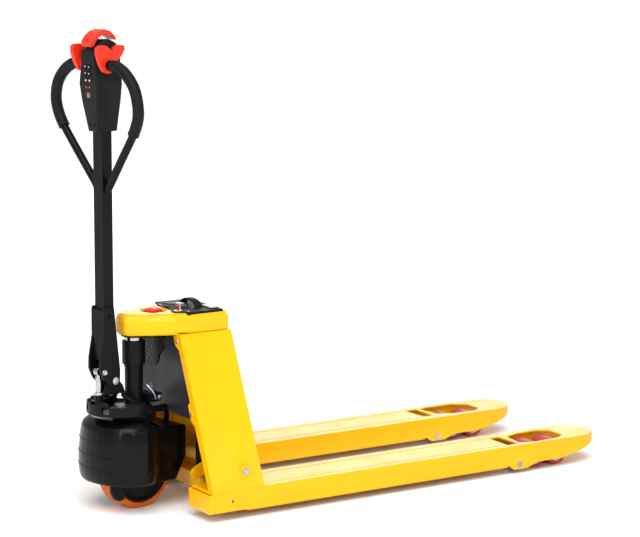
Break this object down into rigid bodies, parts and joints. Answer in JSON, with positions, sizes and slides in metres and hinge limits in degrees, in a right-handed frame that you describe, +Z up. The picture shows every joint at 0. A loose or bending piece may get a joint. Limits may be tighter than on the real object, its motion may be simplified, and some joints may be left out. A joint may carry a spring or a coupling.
{
  "type": "pallet jack",
  "caption": "Low-lift electric pallet truck: forks with tandem load rollers, tower with slide-in battery, steered drive unit under a tiller with looped handle.",
  "frame": {"origin": "middle of the bounding rectangle on the floor", "axes": "+X towards the fork tips, +Y to the operator's left when facing the fork tips, +Z up; forks lowered, tiller upright and turned 10 degrees"},
  "size_m": [1.573, 0.562, 1.307],
  "materials": {
    "yellow_paint": "gloss powder coat over sheet steel, thin at the edges",
    "black_paint": "satin black enamel",
    "steel": "turned and zinc plated",
    "chrome": "hard chrome plated",
    "black_cover": "gloss moulded shell",
    "black_plastic": "fine grained moulding",
    "grey_panel": "satin moulded panel",
    "orange_tyre": "cast polyurethane, lightly scuffed",
    "red_roller": "cast polyurethane, scuffed",
    "red_plastic": "smooth moulding",
    "grip_rubber": "ribbed soft rubber",
    "valve_zinc": "blue grey coil jacket"
  },
  "bodies": {
    "lift_yoke": {"lift_yoke": "black_paint"},
    "chassis": {"fork_right": "yellow_paint", "fork_left": "yellow_paint", "load_pin_right": "steel", "load_pin_left": "steel", "tower_shell": "yellow_paint", "cross_member": "yellow_paint", "hood": "yellow_paint", "inner_cover": "grey_panel", "ram_bracket": "black_paint", "ram": "chrome", "ram_guard": "black_paint", "switch_panel": "black_plastic"},
    "turret": {"turret_casting": "black_paint", "drive_housing": "black_paint", "drive_motor": "black_paint", "drive_cover": "black_cover", "lift_cylinder": "black_paint", "valve_block": "black_paint", "valve_coil": "valve_zinc", "gas_cylinder": "black_paint", "pivot_bolt": "chrome"},
    "drive_wheel": {"drive_hub": "black_paint", "drive_tyre": "orange_tyre"},
    "tiller": {"tiller_yoke": "black_paint", "tiller_tube": "black_paint", "handle_bar": "black_paint", "grip_right": "grip_rubber", "grip_left": "grip_rubber", "control_head": "black_plastic"},
    "gas_rod": {"gas_rod": "chrome"},
    "throttle": {"throttle": "red_plastic"},
    "belly_button": {"belly_button": "red_plastic"},
    "button_lift": {"button_lift": "black_plastic"},
    "button_lower": {"button_lower": "black_plastic"},
    "button_horn": {"button_horn": "black_plastic"},
    "button_slow": {"button_slow": "black_plastic"},
    "stop_button": {"stop_button": "red_plastic"},
    "key_switch": {"key_barrel": "chrome", "key": "chrome"},
    "battery": {"battery": "black_plastic", "battery_handle": "black_plastic", "battery_latch": "chrome"},
    "rocker": {"rocker": "yellow_paint"},
    "push_rod_right": {"push_rod_right": "black_paint"},
    "load_arm_right": {"load_arm_right": "black_paint"},
    "bogie_right": {"bogie_right": "steel"},
    "load_roller_rear_right": {"load_roller_rear_right": "red_roller"},
    "load_roller_front_right": {"load_roller_front_right": "red_roller"},
    "push_rod_left": {"push_rod_left": "black_paint"},
    "load_arm_left": {"load_arm_left": "black_paint"},
    "bogie_left": {"bogie_left": "steel"},
    "load_roller_rear_left": {"load_roller_rear_left": "red_roller"},
    "load_roller_front_left": {"load_roller_front_left": "red_roller"}
  },
  "joints": [
    {"name": "lift", "type": "slide", "parent": "lift_yoke", "child": "chassis", "axis": [0, 0, 1], "range_m": [0, 0.105]},
    {"name": "steer", "type": "hinge", "parent": "lift_yoke", "child": "turret", "pos_m": [-0.62347, 0, 0.15], "axis": [0, 0, 1], "range_deg": [-100, 80]},
    {"name": "drive_wheel_spin", "type": "hinge", "parent": "turret", "child": "drive_wheel", "pos_m": [-0.62347, 0, 0.105], "axis": [-0.1736, 0.9848, 0], "continuous": true},
    {"name": "tiller_tilt", "type": "hinge", "parent": "turret", "child": "tiller", "pos_m": [-0.70915, -0.01511, 0.366], "axis": [0.1736, -0.9848, 0], "range_deg": [0, 65], "stiffness_Nm_per_rad": 60, "springref_deg": -34.38},
    {"name": "gas_rod_slide", "type": "slide", "parent": "turret", "child": "gas_rod", "axis": [0, 0, -1], "range_m": [0, 0.045]},
    {"name": "throttle_turn", "type": "hinge", "parent": "tiller", "child": "throttle", "pos_m": [-0.73771, -0.02014, 1.215], "axis": [-0.1736, 0.9848, 0], "range_deg": [-25, 25], "stiffness_Nm_per_rad": 2},
    {"name": "belly_button_press", "type": "slide", "parent": "tiller", "child": "belly_button", "axis": [0.9848, 0.1736, 0], "range_m": [0, 0.005], "stiffness_N_per_m": 800, "springref_m": -0.002},
    {"name": "button_lift_press", "type": "slide", "parent": "tiller", "child": "button_lift", "axis": [0.9848, 0.1736, 0], "range_m": [0, 0.002], "stiffness_N_per_m": 600, "springref_m": -0.001},
    {"name": "button_lower_press", "type": "slide", "parent": "tiller", "child": "button_lower", "axis": [0.9848, 0.1736, 0], "range_m": [0, 0.002], "stiffness_N_per_m": 600, "springref_m": -0.001},
    {"name": "button_horn_press", "type": "slide", "parent": "tiller", "child": "button_horn", "axis": [0.9848, 0.1736, 0], "range_m": [0, 0.002], "stiffness_N_per_m": 600, "springref_m": -0.001},
    {"name": "button_slow_press", "type": "slide", "parent": "tiller", "child": "button_slow", "axis": [0.9848, 0.1736, 0], "range_m": [0, 0.002], "stiffness_N_per_m": 600, "springref_m": -0.001},
    {"name": "stop_button_press", "type": "slide", "parent": "chassis", "child": "stop_button", "axis": [0, 0, -1], "range_m": [0, 0.003]},
    {"name": "key_turn", "type": "hinge", "parent": "chassis", "child": "key_switch", "pos_m": [-0.51947, -0.062, 0.54], "axis": [0, 0, -1], "range_deg": [0, 90]},
    {"name": "battery_lift_out", "type": "slide", "parent": "chassis", "child": "battery", "axis": [0, 0, 1], "range_m": [0, 0.3]},
    {"name": "rocker_turn", "type": "hinge", "parent": "chassis", "child": "rocker", "pos_m": [-0.42947, 0, 0.127], "axis": [0, -1, 0], "range_deg": [0, 25.5]},
    {"name": "push_rod_slide_right", "type": "slide", "parent": "chassis", "child": "push_rod_right", "axis": [0.968, 0, -0.251], "range_m": [0, 0.0375]},
    {"name": "load_arm_turn_right", "type": "hinge", "parent": "chassis", "child": "load_arm_right", "pos_m": [0.48553, -0.20625, 0.027], "axis": [0, 1, 0], "range_deg": [0, 58.5]},
    {"name": "bogie_turn_right", "type": "hinge", "parent": "load_arm_right", "child": "bogie_right", "pos_m": [0.60353, -0.20625, 0.037], "axis": [0, -1, 0], "range_deg": [0, 58.5]},
    {"name": "load_roller_rear_spin_right", "type": "hinge", "parent": "bogie_right", "child": "load_roller_rear_right", "pos_m": [0.56453, -0.20625, 0.037], "axis": [0, 1, 0], "continuous": true},
    {"name": "load_roller_front_spin_right", "type": "hinge", "parent": "bogie_right", "child": "load_roller_front_right", "pos_m": [0.64253, -0.20625, 0.037], "axis": [0, 1, 0], "continuous": true},
    {"name": "push_rod_slide_left", "type": "slide", "parent": "chassis", "child": "push_rod_left", "axis": [0.968, 0, -0.251], "range_m": [0, 0.0375]},
    {"name": "load_arm_turn_left", "type": "hinge", "parent": "chassis", "child": "load_arm_left", "pos_m": [0.48553, 0.20625, 0.027], "axis": [0, 1, 0], "range_deg": [0, 58.5]},
    {"name": "bogie_turn_left", "type": "hinge", "parent": "load_arm_left", "child": "bogie_left", "pos_m": [0.60353, 0.20625, 0.037], "axis": [0, -1, 0], "range_deg": [0, 58.5]},
    {"name": "load_roller_rear_spin_left", "type": "hinge", "parent": "bogie_left", "child": "load_roller_rear_left", "pos_m": [0.56453, 0.20625, 0.037], "axis": [0, 1, 0], "continuous": true},
    {"name": "load_roller_front_spin_left", "type": "hinge", "parent": "bogie_left", "child": "load_roller_front_left", "pos_m": [0.64253, 0.20625, 0.037], "axis": [0, 1, 0], "continuous": true}
  ],
  "couplings": [
    {"joint": "gas_rod_slide", "follows": "tiller_tilt", "m_per_rad": 0.039},
    {"joint": "rocker_turn", "follows": "lift", "rad_per_m": 4.22},
    {"joint": "push_rod_slide_right", "follows": "lift", "ratio": 0.353},
    {"joint": "load_arm_turn_right", "follows": "lift", "rad_per_m": 9.68},
    {"joint": "bogie_turn_right", "follows": "lift", "rad_per_m": 9.68},
    {"joint": "push_rod_slide_left", "follows": "lift", "ratio": 0.353},
    {"joint": "load_arm_turn_left", "follows": "lift", "rad_per_m": 9.68},
    {"joint": "bogie_turn_left", "follows": "lift", "rad_per_m": 9.68}
  ]
}
